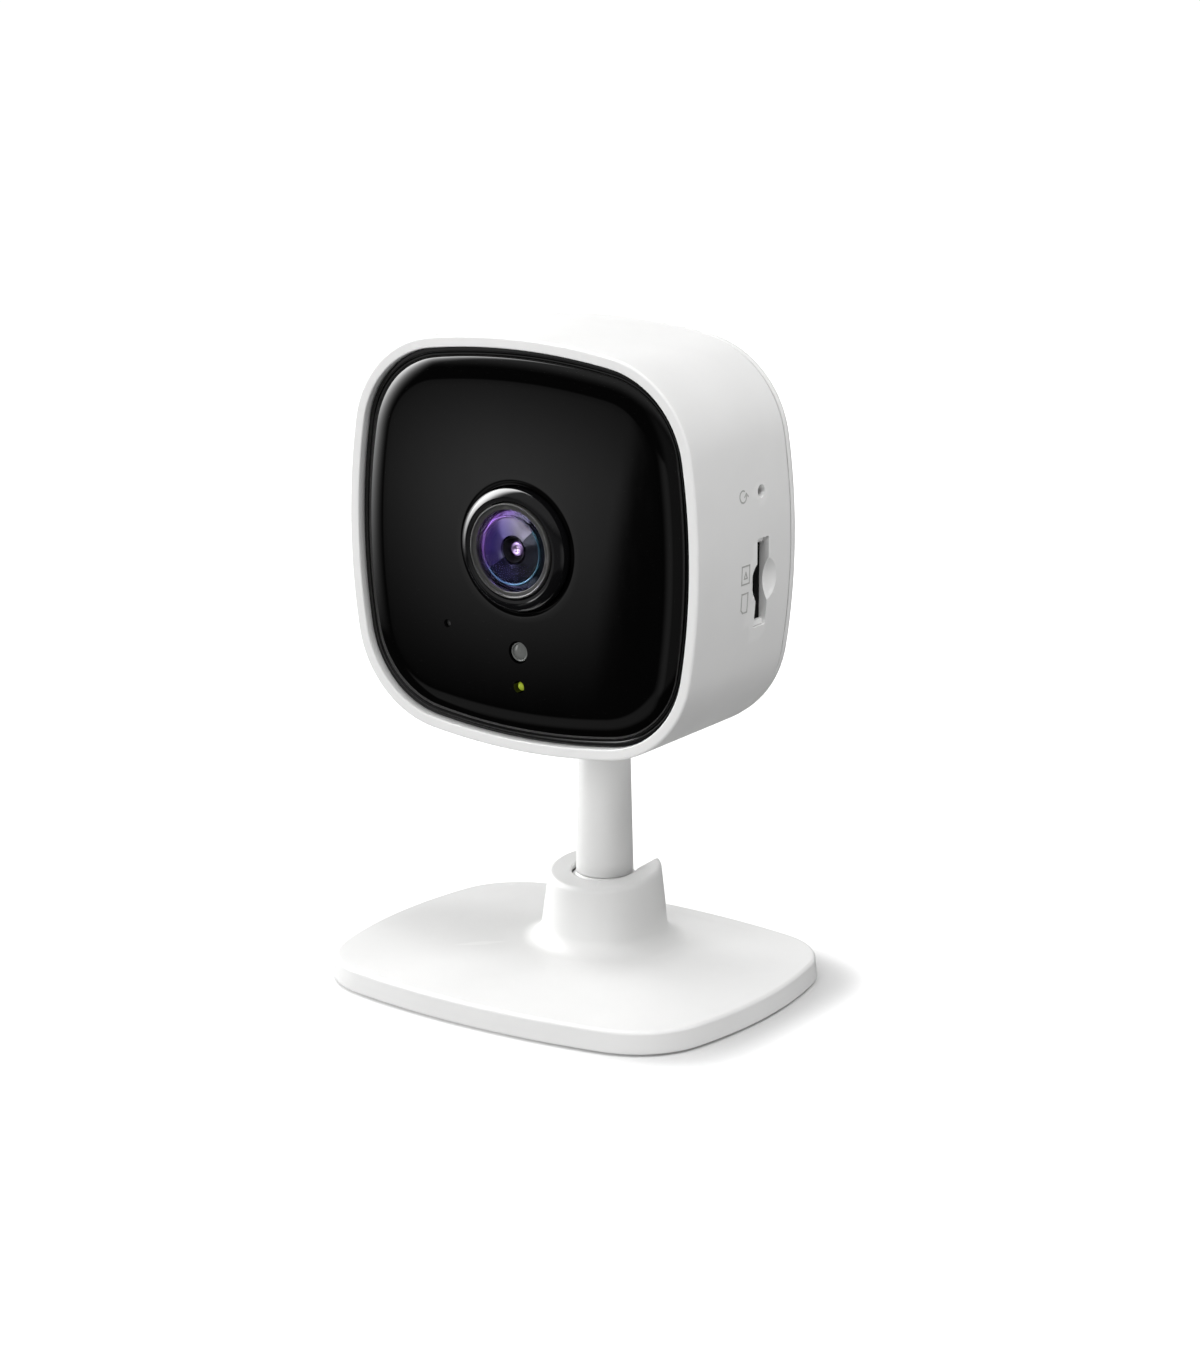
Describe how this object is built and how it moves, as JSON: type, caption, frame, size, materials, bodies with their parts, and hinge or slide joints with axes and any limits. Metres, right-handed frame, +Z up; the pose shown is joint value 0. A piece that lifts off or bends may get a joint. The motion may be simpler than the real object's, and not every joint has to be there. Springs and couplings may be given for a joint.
{
  "type": "security camera",
  "caption": "Square-headed indoor security camera with a black glass face, on a short stem that tilts and swivels in a flat weighted base.",
  "frame": {"origin": "middle of the foot pad's underside, at the centre of the base's outline", "axes": "+Z up along the stem, the lens looks along -Y, and the reset hole and card slot are on the +X side"},
  "size_m": [0.0676, 0.0548, 0.0982],
  "materials": {
    "white_plastic": "fine satin moulding",
    "grey_plastic": "satin",
    "black_plastic": "satin",
    "black_gloss": "polished",
    "acetal": "slick",
    "rubber": "matte",
    "steel": "plain",
    "copper": "copper windings and foil",
    "coated_glass": "purple anti-reflection coating",
    "light_guide": "clear",
    "green_light": "lit green",
    "circuit_board": "solder mask",
    "silicon": "polished die",
    "foam": "open-cell foam"
  },
  "bodies": {
    "base": {"base_top": "white_plastic", "base_weight": "steel", "ball_cup": "acetal", "cup_spring": "steel", "base_plate": "grey_plastic", "foot_pad": "rubber", "base_screw_1": "steel", "base_screw_2": "steel", "base_screw_3": "steel", "base_screw_4": "steel"},
    "ball": {"ball": "white_plastic", "swivel_washer": "steel", "swivel_screw": "steel"},
    "head": {"stem": "white_plastic", "stem_clamp": "black_plastic", "clamp_screw_left": "steel", "clamp_screw_right": "steel", "shell": "white_plastic", "front_glass": "black_gloss", "front_frame": "black_plastic", "lens_bezel": "black_gloss", "lens_retainer": "black_plastic", "lens_glass": "coated_glass", "lens_barrel": "black_plastic", "lens_iris": "black_plastic", "lens_rear_element": "coated_glass", "lens_holder": "black_plastic", "filter_coil": "copper", "image_sensor": "silicon", "sensor_board": "circuit_board", "emitter_board": "circuit_board", "ir_emitter_1": "light_guide", "ir_emitter_2": "light_guide", "ir_emitter_3": "light_guide", "ir_emitter_4": "light_guide", "light_window": "light_guide", "status_light_guide": "green_light", "microphone_boot": "rubber", "microphone": "steel", "main_board": "circuit_board", "heat_spreader": "steel", "radio_shield": "steel", "antenna": "copper", "board_screw_1": "steel", "board_screw_2": "steel", "board_screw_3": "steel", "board_screw_4": "steel", "speaker": "black_plastic", "speaker_gasket": "foam", "power_jack": "black_plastic", "card_socket": "steel", "card_guide": "white_plastic", "reset_switch": "steel", "rear_cover": "white_plastic"},
    "infrared_filter": {"ir_cut_filter": "coated_glass"},
    "card_ejector_slide": {"card_ejector": "acetal"},
    "reset_button": {"reset_plunger": "black_plastic"}
  },
  "joints": [
    {"name": "stand_tilt", "type": "hinge", "parent": "base", "child": "ball", "pos_m": [0, 0.00785, 0.009], "axis": [-1, 0, 0], "range_deg": [-5, 90]},
    {"name": "head_swivel", "type": "hinge", "parent": "ball", "child": "head", "pos_m": [0, 0.00785, 0.0145], "axis": [0, 0, 1], "continuous": true},
    {"name": "filter_slide", "type": "slide", "parent": "head", "child": "infrared_filter", "axis": [1, 0, 0], "range_m": [0, 0.0045]},
    {"name": "card_eject", "type": "slide", "parent": "head", "child": "card_ejector_slide", "axis": [-1, 0, 0], "range_m": [0, 0.005], "stiffness_N_per_m": 100},
    {"name": "reset_press", "type": "slide", "parent": "head", "child": "reset_button", "axis": [-1, 0, 0], "range_m": [0, 0.00025], "stiffness_N_per_m": 2000}
  ]
}
